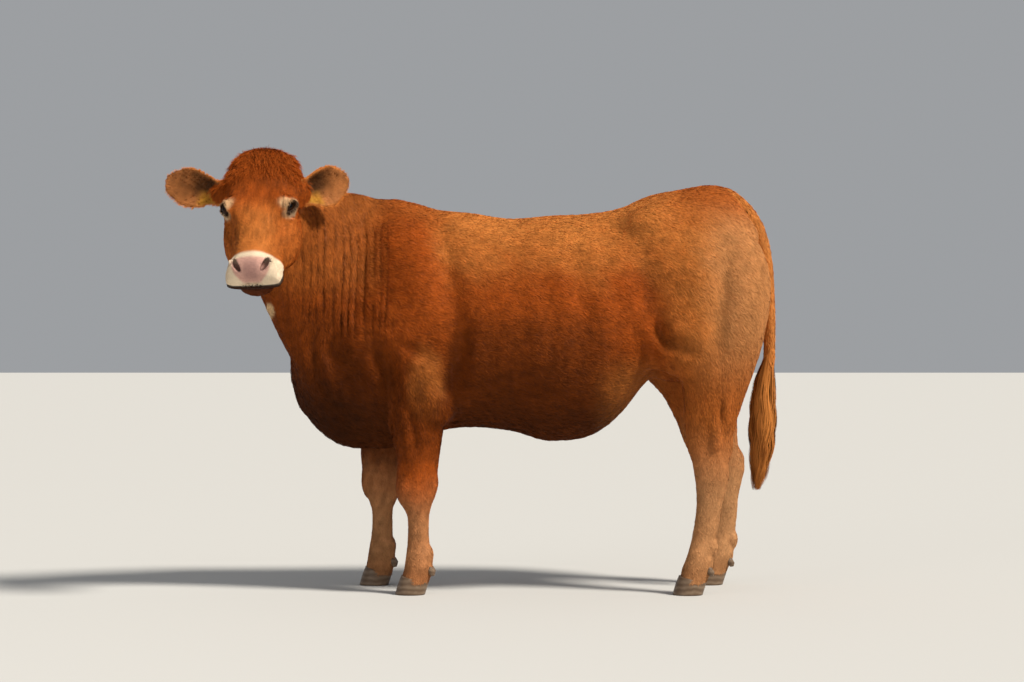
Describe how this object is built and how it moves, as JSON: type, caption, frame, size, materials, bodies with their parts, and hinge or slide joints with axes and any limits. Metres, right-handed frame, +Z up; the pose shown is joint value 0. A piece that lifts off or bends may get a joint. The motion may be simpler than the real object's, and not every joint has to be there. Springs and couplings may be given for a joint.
{
  "type": "cow",
  "caption": "Life-size polled beef cow with a short chestnut coat, standing square with her head turned to her left, a pale muzzle, upright ears and a long switch on the tail.",
  "frame": {"origin": "middle of the bounding box's footprint, on the ground under the claws", "axes": "+X from head to tail, -Y towards the animal's left side, +Z up"},
  "size_m": [2.0222, 0.9216, 1.468],
  "materials": {
    "coat": "short dense hair, chestnut red, softly shiny",
    "leg_coat": "short pale fawn hair",
    "pale_coat": "short cream hair",
    "switch_hair": "long wavy golden brown hair",
    "nose": "bare moist pinkish skin",
    "eye": "glossy, very dark brown",
    "horn": "hoof horn, grey brown, slightly rough"
  },
  "bodies": {
    "root": {"trunk": "coat", "neck": "coat", "ear_left": "coat", "ear_right": "coat", "head": "coat", "muzzle": "nose", "lower_lip": "pale_coat", "eye_left": "eye", "eye_right": "eye", "hind_thigh_left": "coat", "hind_gaskin_left": "coat", "hind_cannon_left": "coat", "hind_pastern_left": "leg_coat", "hind_dewclaw_left_outer": "horn", "hind_dewclaw_left_inner": "horn", "hind_claw_left_outer": "horn", "hind_claw_left_inner": "horn", "hind_thigh_right": "coat", "hind_gaskin_right": "coat", "hind_cannon_right": "coat", "hind_pastern_right": "leg_coat", "hind_dewclaw_right_inner": "horn", "hind_dewclaw_right_outer": "horn", "hind_claw_right_outer": "horn", "hind_claw_right_inner": "horn", "fore_forearm_left": "coat", "fore_cannon_left": "coat", "fore_pastern_left": "leg_coat", "fore_dewclaw_left_outer": "horn", "fore_dewclaw_left_inner": "horn", "fore_claw_left_outer": "horn", "fore_claw_left_inner": "horn", "fore_forearm_right": "coat", "fore_cannon_right": "coat", "fore_pastern_right": "leg_coat", "fore_dewclaw_right_inner": "horn", "fore_dewclaw_right_outer": "horn", "fore_claw_right_outer": "horn", "fore_claw_right_inner": "horn", "tail": "coat", "tail_switch": "switch_hair"}
  },
  "joints": []
}
